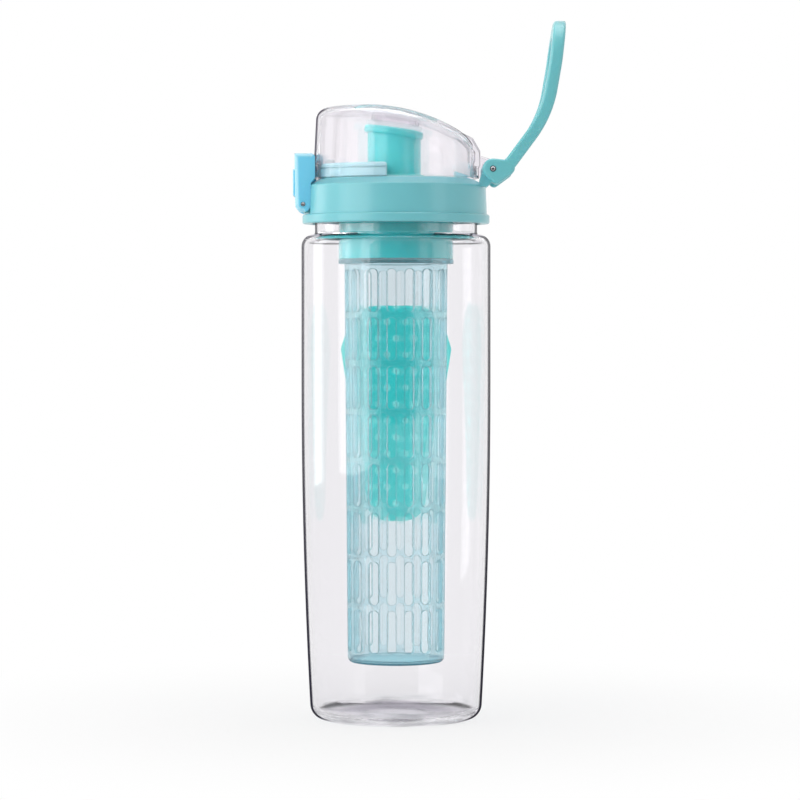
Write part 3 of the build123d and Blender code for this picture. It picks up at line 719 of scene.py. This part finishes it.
@dataclass
class Studio:
    """The camera, the lights, the floor and the white surround."""

    distance: float = 1440.0
    eye_height: float = 179.5
    side: float = 1.8
    frame_px: float = 800.0
    focal_px: float = 3200.0
    horizon_px: float = 319.0
    sensor: float = 36.0
    near: float = 50.0
    far: float = 20000.0
    ambient: float = 0.42
    front_dim: float = 0.35
    front_span: Span = (-0.3, -0.9)
    floor_half: float = 3000.0
    floor_white: float = 0.94
    floor_glow: float = 0.73
    shadow_from: float = 50.0
    shadow_to: float = 270.0
    lamps: tuple[Softbox, ...] = (
        Softbox("key_softbox", (-1080.0, -810.0, 560.0), (1100.0, 1400.0), 9.5),
        Softbox("side_softbox", (-1350.0, 500.0, 450.0), (500.0, 1400.0), 4.0),
        Softbox("fill_softbox", (1150.0, -800.0, 350.0), (450.0, 1400.0), 2.0),
        Softbox("top_softbox", (0.0, 150.0, 1200.0), (800.0, 800.0), 4.0),
    )

    def build(self) -> None:
        """Make everything that isn't part of the object."""
        bpy.context.scene.view_settings.view_transform = "Standard"
        self.camera()
        self.world()
        self.floor()
        for lamp in self.lamps:
            lamp.build()

    def camera(self) -> None:
        """Set the camera at the photograph's viewing angle."""
        data = bpy.data.cameras.new("camera")
        data.sensor_width = self.sensor
        data.lens = self.sensor * self.focal_px / self.frame_px
        data.shift_y = (self.horizon_px - self.frame_px / 2) / self.frame_px
        data.clip_start, data.clip_end = self.near * MM, self.far * MM
        camera = put("camera", data)
        camera.location = (self.side * MM, -self.distance * MM, self.eye_height * MM)
        camera.rotation_euler = (pi / 2, 0.0, 0.0)
        bpy.context.scene.camera = camera

    def world(self) -> None:
        """Light from all round, with a white surround in the picture, in gloss and through glass.

        What gloss mirrors is dimmer on the camera's side, as in a studio.
        """
        world = bpy.data.worlds.new("surround")
        bpy.context.scene.world = world
        graph = Graph(world)
        seen = graph.ray("Camera", "Glossy", "Transmission")
        surface = graph.mix(seen, graph.white(self.ambient), graph.white(1.0))
        way = graph.add("ShaderNodeTexCoord", out="Generated")
        front = graph.smooth(graph.along("Y", way), *self.front_span)
        surface = graph.mix(front * graph.ray("Glossy"), surface, graph.white(self.front_dim))
        graph.add("ShaderNodeOutputWorld", inputs={"Surface": surface})

    def floor(self) -> None:
        """A plain white floor that keeps a soft shadow."""
        shape = bmesh.new()
        bmesh.ops.create_grid(shape, x_segments=1, y_segments=1, size=self.floor_half * MM)
        mesh = bpy.data.meshes.new("floor")
        shape.to_mesh(mesh)
        shape.free()
        floor = put("floor", mesh)
        material = bpy.data.materials.new("floor_white")
        graph = Graph(material)
        glow = graph.add("ShaderNodeEmission", inputs={"Color": WHITE, "Strength": 1.0})
        away = graph.vectors("LENGTH", graph.flat_place(), out="Value")
        plain = graph.smooth(away, self.shadow_from * MM, self.shadow_to * MM)
        share = plain * (1.0 - self.floor_glow) + self.floor_glow
        seen = graph.ray("Camera", "Glossy", "Transmission") * share
        graph.finish(graph.mix(seen, graph.matt((self.floor_white,) * 3), glow))
        mesh.materials.append(material)


@dataclass(frozen=True)
class Thread:
    """A low thread ridge with run-out ends, which winds round the Z axis on a wall."""

    wall_r: float
    low_z: float
    turns: float
    inward: bool = False
    height: float = 0.7
    width: float = 1.7
    tip_share: float = 0.4
    pitch: float = 4.2
    sunk: float = 0.15
    steps: int = 96

    def coil(self) -> Shape:
        """Wind the ridge.

        Returns:
            The ridge.
        """
        shape = Shape()
        way = -1.0 if self.inward else 1.0
        root, tip = self.wall_r - way * self.sunk, self.wall_r + way * self.height
        foot_w, tip_w = self.width / 2, self.width / 2 * self.tip_share
        made = [shape.bm.verts.new((x, 0.0, self.low_z + z))
                for x, z in ((root, -foot_w), (tip, -tip_w), (tip, tip_w), (root, foot_w))]
        count = int(self.steps * self.turns)
        bmesh.ops.spin(shape.bm, geom=[shape.bm.faces.new(made)], cent=(0, 0, 0), axis=Z_AXIS,
                       angle=2 * pi * self.turns, dvec=(0, 0, self.pitch * self.turns / count), steps=count,
                       use_merge=False)
        return shape.heal()


@dataclass
class Bottle:
    """The clear bottle with its neck thread and its grip pad."""

    body_r: float = 42.5
    base_taper: float = 4.3
    base_corner_r: float = 6.5
    taper_top_z: float = 150.0
    side_steps: int = 10
    shoulder_z: float = 217.5
    shoulder_r: float = 5.4
    neck_r: float = 36.45
    neck_top_z: float = 236.5
    neck_root_r: float = 1.2
    inner_root_r: float = 2.4
    lip_r: float = 0.6
    wall_t: float = 2.2
    neck_wall_t: float = 2.1
    floor_t: float = 3.0
    foot_w: float = 12.2
    foot_r: float = 3.0
    punt_h: float = 4.0
    punt_bend: Span = (0.5, 0.75)
    thread_low_z: float = 222.8
    thread_turns: float = 1.75
    turn_steps: int = 160
    pad_wide_z: float = 166.0
    pad_bottom_z: float = 86.0
    pad_top_half_w: float = 20.0
    pad_wide_half_w: float = 26.5
    pad_bottom_half_w: float = 13.5
    pad_end_r: float = 10.0
    pad_proud: float = 0.45
    pad_gap: float = 0.06
    pad_edge_w: float = 2.0
    pad_edge_least: float = 0.04
    pad_columns: int = 28
    pad_rows: int = 64
    dot_r: float = 1.15
    dot_sides: int = 12
    dot_rings: int = 7
    dot_flat: float = 0.38
    dot_sunk: float = 0.1
    dot_room: float = 3.0

    def outer_r(self, z: float) -> float:
        """The body's outer radius at a height, on the arc that its tapered side follows."""
        bend_r = (self.taper_top_z ** 2 + self.base_taper ** 2) / (2 * self.base_taper)
        return self.body_r - (bend_r - sqrt(bend_r ** 2 - max(0.0, self.taper_top_z - z) ** 2))

    def side(self, z_from: float, z_to: float, inset: float) -> list[Triple]:
        """Sharp section points between two heights of the tapered side, inset from the outer wall."""
        heights = [z_from + (z_to - z_from) * step / self.side_steps for step in range(1, self.side_steps)]
        return [(self.outer_r(z) - inset, z, 0.0) for z in heights]

    def build(self) -> None:
        """Make the bottle's pieces."""
        self.shell()
        thread = Thread(self.neck_r, self.thread_low_z, self.thread_turns)
        thread.coil().piece("neck_thread", "bottle", BODY_CLEAR)
        self.pad()
        self.dots()

    def shell(self) -> None:
        """The bottle's wall, one closed shell from the foot to the lip and back."""
        t, base_r = self.wall_t, self.body_r - self.base_taper
        foot_in_r = base_r - self.foot_w
        inner_shoulder_z, inner_neck_r = self.shoulder_z - t, self.neck_r - self.neck_wall_t
        bend_r, bend_z = foot_in_r * self.punt_bend[0], self.punt_h * self.punt_bend[1]
        corners = [
            (0.0, self.punt_h, 0.0), (bend_r, bend_z, 0.0), (foot_in_r, 0.0, self.foot_r),
            (base_r, 0.0, self.base_corner_r),
            *self.side(0.0, self.taper_top_z, 0.0), (self.body_r, self.taper_top_z, 0.0),
            (self.body_r, self.shoulder_z, self.shoulder_r),
            (self.neck_r, self.shoulder_z, self.neck_root_r),
            (self.neck_r, self.neck_top_z, self.lip_r), (inner_neck_r, self.neck_top_z, self.lip_r),
            (inner_neck_r, inner_shoulder_z, self.inner_root_r),
            (self.body_r - t, inner_shoulder_z, self.shoulder_r - t),
            (self.body_r - t, self.taper_top_z, 0.0), *self.side(self.taper_top_z, self.floor_t, t),
            (base_r - t, self.floor_t, self.base_corner_r - t),
            (foot_in_r, self.floor_t, self.foot_r), (bend_r, bend_z + self.floor_t, 0.0),
            (0.0, self.punt_h + self.floor_t, 0.0),
        ]
        Shape().spin(corners, self.turn_steps).piece("bottle_shell", "bottle", BODY_CLEAR, ("bottle_body",))

    def pad_half_w(self, z: float) -> float:
        """Half the pad's width at a height, with its rounded ends.

        Args:
            z: the height.

        Returns:
            Half the width.
        """
        end_z, end_w = self.pad_bottom_z, self.pad_bottom_half_w
        if z > self.pad_wide_z:
            end_z, end_w = PAD_TOP_Z, self.pad_top_half_w
        width = end_w + (self.pad_wide_half_w - end_w) * (z - end_z) / (self.pad_wide_z - end_z)
        end = min(PAD_TOP_Z - z, z - self.pad_bottom_z)
        if end < self.pad_end_r:
            width -= self.pad_end_r - sqrt(max(0.0, self.pad_end_r ** 2 - (self.pad_end_r - end) ** 2))
        return width

    def pad(self) -> None:
        """The grip pad, a shield that hugs the back of the bottle and is crowned at its edges."""
        shape = Shape()
        bmesh.ops.create_grid(shape.bm, x_segments=self.pad_columns, y_segments=self.pad_rows, size=1.0)
        height = PAD_TOP_Z - self.pad_bottom_z
        for vert in shape.bm.verts:
            across, up = vert.co.x, vert.co.y
            z = self.pad_bottom_z + height * (0.5 + 0.5 * sin(up * pi / 2))
            half = self.pad_half_w(z)
            edge = min(half * (1 - abs(across)), PAD_TOP_Z - z, z - self.pad_bottom_z)
            crown = sqrt(min(1.0, max(0.0, edge) / self.pad_edge_w + self.pad_edge_least))
            angle = asin(across * half / self.outer_r(z))
            radius = self.outer_r(z) + self.pad_proud * crown
            vert.co = (radius * sin(angle), radius * cos(angle), z)
        shape.heal()
        outside = list(shape.bm.faces)
        rim = [e for e in shape.bm.edges if e.is_boundary]
        made = bmesh.ops.extrude_edge_only(shape.bm, edges=rim)["geom"]
        made += bmesh.ops.duplicate(shape.bm, geom=outside)["geom"]
        for vert in only(BMVert, made):
            radius = self.outer_r(vert.co.z) + self.pad_gap
            flat = Vector((vert.co.x, vert.co.y, 0.0)).normalized() * radius
            vert.co = (flat.x, flat.y, vert.co.z)
        shape.heal(NEAR).piece("grip_shield", "bottle", GRIP_TEAL, ("grip_pad",), crease=50.0)

    def dots(self) -> None:
        """The raised dots of the grip pad, in staggered rows that follow its outline."""
        shape = Shape()
        half_count = int(self.pad_wide_half_w / DOT_PITCH) + 1
        for row in range(1, int((PAD_TOP_Z - self.pad_bottom_z) / DOT_ROW_PITCH)):
            z = PAD_TOP_Z - row * DOT_ROW_PITCH
            for column in range(-half_count, half_count + 1):
                x = (column + 0.5 * (row % 2)) * DOT_PITCH
                if abs(x) > self.pad_half_w(z) - self.dot_room:
                    continue
                angle = asin(x / self.outer_r(z))
                radius = self.outer_r(z) + self.pad_proud - self.dot_sunk
                made = bmesh.ops.create_uvsphere(shape.bm, u_segments=self.dot_sides,
                                                 v_segments=self.dot_rings, radius=self.dot_r)
                spot = Matrix.Translation((radius * sin(angle), radius * cos(angle), z))
                flat = Matrix.Rotation(-angle, 4, "Z") @ Matrix.Diagonal((1.0, self.dot_flat, 1.0, 1.0))
                bmesh.ops.transform(shape.bm, matrix=spot @ flat, verts=made["verts"])
        shape.piece("grip_dots", "bottle", DOT_TEAL)


@dataclass
class Lid:
    """The screw lid: collar, deck, spout, vent valve, pins, gasket and the infuser's adapter.

    The sections of a pin's head are in shares of the pin's radius and of the head's height.
    """

    collar_bore_r: float = 38.0
    thread_low_z: float = 224.9
    thread_turns: float = 1.5
    gasket_w: float = 1.75
    gasket_edge_r: float = 0.4
    cap_r: float = 2.3
    cap_h: float = 2.5
    cap_edge_r: float = 0.9
    cap_foot_r: float = 0.3
    cap_steps: int = 40
    stem_r: float = 1.1
    dimple_r: float = 0.9
    dimple_floor_r: float = 0.6
    dimple_root_r: float = 0.2
    dimple_h: float = 0.7
    wire_r: float = 0.4
    wire_sides: int = 12
    spring_r: float = 2.6
    spring_pitch: float = 2.0
    spring_turns: float = 3.5
    spring_steps: int = 32
    spring_leg: float = 4.0
    head_h: float = 0.35
    head_steps: int = 32
    head_rim: tuple[Span, ...] = ((0.8, 0.0), (1.02, 0.0), (1.02, 0.4), (0.8, 1.0))
    head_face: tuple[Span, ...] = ((0.3, 0.0), (0.79, 0.0), (0.79, 1.0), (0.4, 0.8), (0.3, 0.3))
    head_recess: tuple[Span, ...] = ((0.0, 0.0), (0.29, 0.0), (0.29, 0.28), (0.0, 0.2))

    def build(self) -> None:
        """Make the lid's pieces."""
        for node, finish in (("lid_collar", LID_AQUA), ("lid_deck", DECK_AQUA_PAINTED_REFLECTION),
                             ("drinking_spout", SPOUT_TEAL), ("infuser_adapter", ADAPTER_AQUA),
                             ("latch_pin", STEEL), ("hinge_pin", STEEL)):
            dress(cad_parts[node], finish)
        thread = Thread(self.collar_bore_r, self.thread_low_z, self.thread_turns, inward=True)
        thread.coil().piece("collar_thread", "lid", LID_AQUA)
        self.gasket()
        self.vent()
        self.spring()
        self.pin_heads()

    def gasket(self) -> None:
        """The flat ring between the neck and the lid."""
        low, high = box_of("neck_gasket")
        inner, soft = high.x - self.gasket_w, self.gasket_edge_r
        ring = [(inner, low.z, soft), (high.x, low.z, soft), (high.x, high.z, soft), (inner, high.z, soft)]
        Shape().spin(ring).piece("neck_seal_ring", "gasket", SEAL_PALE, ("neck_gasket",))

    def vent(self) -> None:
        """The vent valve, a button with a dimple and a stem."""
        low, high = box_of("vent_valve")
        middle, top = middle_of("vent_valve"), high.z
        seat, dimple, soft = top - self.cap_h, top - self.dimple_h, self.cap_foot_r
        Shape().spin([
            (0.0, low.z, 0.0), (self.stem_r, low.z, soft), (self.stem_r, seat, 0.0), (self.cap_r, seat, soft),
            (self.cap_r, top, self.cap_edge_r), (self.dimple_r, top, soft),
            (self.dimple_floor_r, dimple, self.dimple_root_r), (0.0, dimple, 0.0),
        ], self.cap_steps).move(middle.x, middle.y).piece("vent_button", "lid", SEAL_PALE, ("vent_valve",))

    def spring(self) -> None:
        """The hinge spring, a round wire wound round the pin, with two straight legs."""
        low, high = box_of("hinge_spring")
        pin = Vector((high.x - self.spring_r - self.wire_r, 0.0, (low.z + high.z) / 2))
        turns, steps = self.spring_turns, int(self.spring_steps * self.spring_turns)
        shape = Shape()
        start = pin - Vector((0.0, self.spring_pitch * turns / 2, self.spring_r))
        bmesh.ops.create_circle(shape.bm, segments=self.wire_sides, radius=self.wire_r,
                                matrix=Matrix.Translation(start) @ Matrix.Rotation(pi / 2, 4, "Y"))
        ring = shape.bm.edges[:]
        self.leg(shape, ring)
        last = bmesh.ops.spin(shape.bm, geom=ring, cent=pin, axis=(0, -1, 0), angle=2 * pi * turns,
                              dvec=(0, self.spring_pitch * turns / steps, 0), steps=steps)["geom_last"]
        self.leg(shape, only(BMEdge, last))
        bmesh.ops.holes_fill(shape.bm, edges=[e for e in shape.bm.edges if e.is_boundary], sides=0)
        shape.heal().piece("cover_spring", "lid", STEEL, ("hinge_spring",), crease=60.0)

    def leg(self, shape: Shape, ring: list[BMEdge]) -> None:
        """Draw a straight leg out of one end of the spring's wire."""
        made = bmesh.ops.extrude_edge_only(shape.bm, edges=ring)["geom"]
        bmesh.ops.translate(shape.bm, vec=(-self.spring_leg, 0, 0), verts=only(BMVert, made))

    def pin_heads(self) -> None:
        """The ends of both pins: a chamfered rim and a recess, dark with painted shade, round a face made
        bright with a painted highlight.
        """
        sections = (("rims", self.head_rim, PAINTED_SHADE_STEEL), ("faces", self.head_face, PAINTED_HIGHLIGHT_STEEL),
                    ("recesses", self.head_recess, PAINTED_SHADE_STEEL))
        for name in ("hinge", "latch"):
            low, high = box_of(f"{name}_pin")
            middle, radius = middle_of(f"{name}_pin"), (high.z - low.z) / 2
            for part, section, finish in sections:
                corners = [(radius * out, self.head_h * up, 0.0) for out, up in section]
                shape = Shape().spin(corners, self.head_steps)
                shape.turn(Matrix.Rotation(pi / 2, 4, "X")).move(middle.x, low.y, middle.z)
                bmesh.ops.mirror(shape.bm, geom=shape.bm.verts[:] + shape.bm.edges[:] + shape.bm.faces[:],
                                 merge_dist=NEAR / 100, axis="Y")
                shape.heal().piece(f"{name}_{part}", "lid", finish)


@dataclass
class FlipCover:
    """The clear flip cover, and its spout seal: a silicone disc with a low plug that enters the bore."""

    seal_r: float = 12.6
    seal_t: float = 2.0
    seal_edge_r: float = 0.6
    seal_steps: int = 72
    plug_r: float = 7.6
    plug_root_r: float = 0.3
    plug_end_r: float = 6.8
    plug_h: float = 1.5
    tilt_deg: float = 8.0

    def build(self) -> None:
        """Make the cover's pieces."""
        dress(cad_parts["flip_cover"], COVER_CLEAR)
        tilt, soft = radians(self.tilt_deg), self.seal_edge_r
        low, high = box_of("spout_seal")
        top = Vector(((low.x + high.x) / 2, 0.0, high.z - self.seal_r * sin(tilt)))
        seat = top - Vector((sin(tilt), 0.0, cos(tilt))) * self.seal_t
        shape = Shape().spin([
            (0.0, -self.plug_h, 0.0), (self.plug_end_r, -self.plug_h, soft),
            (self.plug_r, 0.0, self.plug_root_r), (self.seal_r, 0.0, soft), (self.seal_r, self.seal_t, soft),
            (0.0, self.seal_t, 0.0),
        ], self.seal_steps)
        shape.turn(Matrix.Rotation(tilt, 4, "Y")).move(*seat)
        shape.piece("spout_plug", "cover", SEAL_PALE, ("spout_seal",))


@dataclass
class Latch:
    """The front latch, with the rounded shoulders that a thumb meets."""

    shoulder_r: float = 2.4
    front_w: float = 5.5
    top_h: float = 0.5
    hole_r: float = 2.2
    segments: int = 5

    def build(self) -> None:
        """Round the outer edges of the latch's sides at its front and top, but not those of its pin holes."""
        low, high = box_of("latch")
        pin = middle_of("latch_pin")
        shape = Shape().copy_of("latch").round_edges(
            lambda end: abs(end.y) > high.y - ON_FACE
            and Vector((end.x - pin.x, end.z - pin.z)).length > self.hole_r
            and (end.x < low.x + self.front_w or end.z > high.z - self.top_h),
            self.shoulder_r, self.segments)
        shape.piece("latch_lever", "latch_arm", LATCH_BLUE, ("latch",), crease=30.0)


@dataclass
class CarryLoop:
    """The swinging carry loop, with edges rounded for a finger."""

    edge_r: float = 1.35
    hole_r: float = 2.4
    segments: int = 5

    def build(self) -> None:
        """Round the edges of the loop, but not those of its pin holes."""
        pin = middle_of("hinge_pin")
        shape = Shape().copy_of("carry_loop").round_edges(
            lambda end: Vector((end.x - pin.x, end.z - pin.z)).length > self.hole_r,
            self.edge_r, self.segments)
        shape.piece("carry_handle", "handle", LOOP_AQUA, ("carry_loop",), crease=30.0)


@dataclass
class Infuser:
    """The slotted basket that screws into the adapter."""

    bottom_z: float = 25.5
    flange_z: float = 204.4
    flange_t: float = 2.0
    flange_r: float = 25.9
    flange_edge_r: float = 0.3
    flange_gap: float = 0.05
    neck_r: float = 23.4
    neck_h: float = 12.0
    bore_gap: float = 0.1
    top_r: float = 23.2
    bottom_r: float = 21.7
    bottom_edge_r: float = 2.4
    bottom_steps: int = 4
    wall_t: float = 1.6
    slot_w: float = 4.3
    slot_h: float = 19.2
    slot_pitch_z: float = 21.7
    slot_pitch_x: float = 8.3
    slot_low_z: float = 40.4
    slot_edge_w: float = 0.22
    slot_edge_segments: int = 2
    rows: int = 8
    columns: int = 4
    slides: int = 4
    slide_deg: float = 5.3
    seam_h: float = 0.15
    round_segments: int = 24
    side_segments: float = 3.5

    def build(self) -> None:
        """Make the basket's pieces."""
        self.wall()
        self.collar()

    def wall_r(self, z: float) -> float:
        """The wall's outer radius at a height."""
        share = (z - self.bottom_z) / (self.flange_z - self.bottom_z)
        return self.bottom_r + (self.top_r - self.bottom_r) * share

    def tile(self, shape: Shape, x: float, z: float) -> None:
        """One flat tile with a round-ended slot in its middle.

        Args:
            shape: the sheet that gets the tile.
            x: the tile's middle across.
            z: the tile's middle up.
        """
        spread = 2 * pi / self.round_segments
        rim = bmesh.ops.create_circle(shape.bm, segments=self.round_segments, radius=self.slot_w / 2,
                                      matrix=Matrix.Rotation(spread / 2, 4, "Z"))["verts"]
        rim_edges = {e for v in rim for e in v.link_edges}
        straight = self.slot_h / 2 - self.slot_w / 2
        frame_x, frame_z = self.slot_pitch_x / 2, self.slot_pitch_z / 2
        outside = only(BMVert, bmesh.ops.extrude_edge_only(shape.bm, edges=list(rim_edges))["geom"])
        corner = spread * self.side_segments
        for vert in outside:
            angle = atan2(abs(vert.co.y), abs(vert.co.x))
            side, up = frame_x, frame_z
            if angle <= corner + NEAR:
                up = straight + (frame_z - straight) * (angle - spread / 2) / (corner - spread / 2)
            else:
                side = frame_x * (pi / 2 - angle) / (pi / 2 - corner)
            vert.co = (copysign(side, vert.co.x), copysign(up, vert.co.y), 0.0)
        for vert in rim:
            vert.co.y += copysign(straight, vert.co.y)
        for vert in rim + outside:
            vert.co = (vert.co.x + x, 0.0, vert.co.y + z)

    def sheet(self) -> Shape:
        """The slotted wall as an open tube: tiles, rolled into a quarter of it and turned round the axis.

        Returns:
            The tube.
        """
        shape = Shape()
        for column in range(self.columns):
            for row in range(self.rows):
                self.tile(shape, (column - (self.columns - 1) / 2) * self.slot_pitch_x,
                          self.slot_low_z + row * self.slot_pitch_z)
        bmesh.ops.remove_doubles(shape.bm, verts=shape.bm.verts, dist=NEAR)
        half_w = self.slot_pitch_x * self.columns / 2
        for vert in shape.bm.verts:
            seam = abs(abs(vert.co.x) - half_w) < NEAR
            angle = copysign(pi / 4, vert.co.x) if seam else asin(vert.co.x / self.top_r)
            radius = self.wall_r(vert.co.z) + (self.seam_h if seam else 0.0)
            vert.co = (radius * sin(angle), -radius * cos(angle), vert.co.z)
        quarter = list(shape.bm.faces)
        for slide in range(1, self.slides):
            made = bmesh.ops.duplicate(shape.bm, geom=quarter)["geom"]
            bmesh.ops.rotate(shape.bm, cent=(0, 0, 0), verts=only(BMVert, made),
                             matrix=Matrix.Rotation(2 * pi / self.slides * slide, 3, "Z"))
        bmesh.ops.remove_doubles(shape.bm, verts=shape.bm.verts, dist=NEAR)
        return shape

    def wall(self) -> None:
        """The basket's slotted wall and floor."""
        shape = self.sheet()
        self.extend(shape, self.slot_low_z + self.slot_pitch_z * (self.rows - 0.5),
                    [(self.wall_r(self.flange_z), self.flange_z)])
        edge, steps = self.bottom_edge_r, self.bottom_steps
        rounding = [(self.bottom_r - edge + edge * cos(a), self.bottom_z + edge - edge * sin(a))
                    for a in (pi / 2 * step / steps for step in range(steps + 1))]
        self.extend(shape, self.slot_low_z - self.slot_pitch_z / 2,
                    [*rounding, (self.bottom_r / 2, self.bottom_z), (0.0, self.bottom_z)])
        shape.heal(NEAR).turn(Matrix.Rotation(radians(self.slide_deg), 4, "Z"))
        bmesh.ops.solidify(shape.bm, geom=shape.bm.faces, thickness=self.wall_t)
        piece = shape.piece("basket_wall", "infuser", BASKET_CLEAR, ("infuser_basket",), crease=40.0)
        bevel = piece.modifiers.new("soft_edges", "BEVEL")
        bevel.limit_method, bevel.angle_limit = "ANGLE", SHARP
        bevel.width, bevel.segments = self.slot_edge_w * MM, self.slot_edge_segments
        bevel.harden_normals = True

    def collar(self) -> None:
        """The basket's flange and the neck that screws into the adapter."""
        low, top = self.flange_z + self.flange_gap, self.flange_z + self.flange_t
        soft = self.flange_edge_r
        bore_r, rim_z = self.top_r - self.wall_t - self.bore_gap, top + self.neck_h
        Shape().spin([
            (bore_r, low, soft), (self.flange_r, low, soft), (self.flange_r, top, soft),
            (self.neck_r, top, soft), (self.neck_r, rim_z, soft), (bore_r, rim_z, soft),
        ]).piece("basket_collar", "infuser", BASKET_CLEAR)

    @staticmethod
    def extend(shape: Shape, from_z: float, rings: list[Span]) -> None:
        """Carry the sheet on from one of its open ends.

        Args:
            shape: the sheet.
            from_z: the height of the open end.
            rings: the next rings' radius and height.
        """
        rim = [e for e in shape.bm.edges
               if e.is_boundary and all(abs(v.co.z - from_z) < ON_FACE for v in e.verts)]
        for radius, z in rings:
            made = bmesh.ops.extrude_edge_only(shape.bm, edges=rim)["geom"]
            rim = only(BMEdge, made)
            for vert in only(BMVert, made):
                way = Vector((vert.co.x, vert.co.y, 0.0)).normalized() * radius
                vert.co = (way.x, way.y, z)


def main() -> None:
    """Build the studio and the bottle, sub-assembly by sub-assembly."""
    logging.basicConfig(level=logging.INFO)
    Studio().build()
    for part in (Bottle(), Lid(), FlipCover(), Latch(), CarryLoop(), Infuser()):
        part.build()
        LOG.info("%s done", type(part).__name__)


if __name__ == "__main__":
    main()
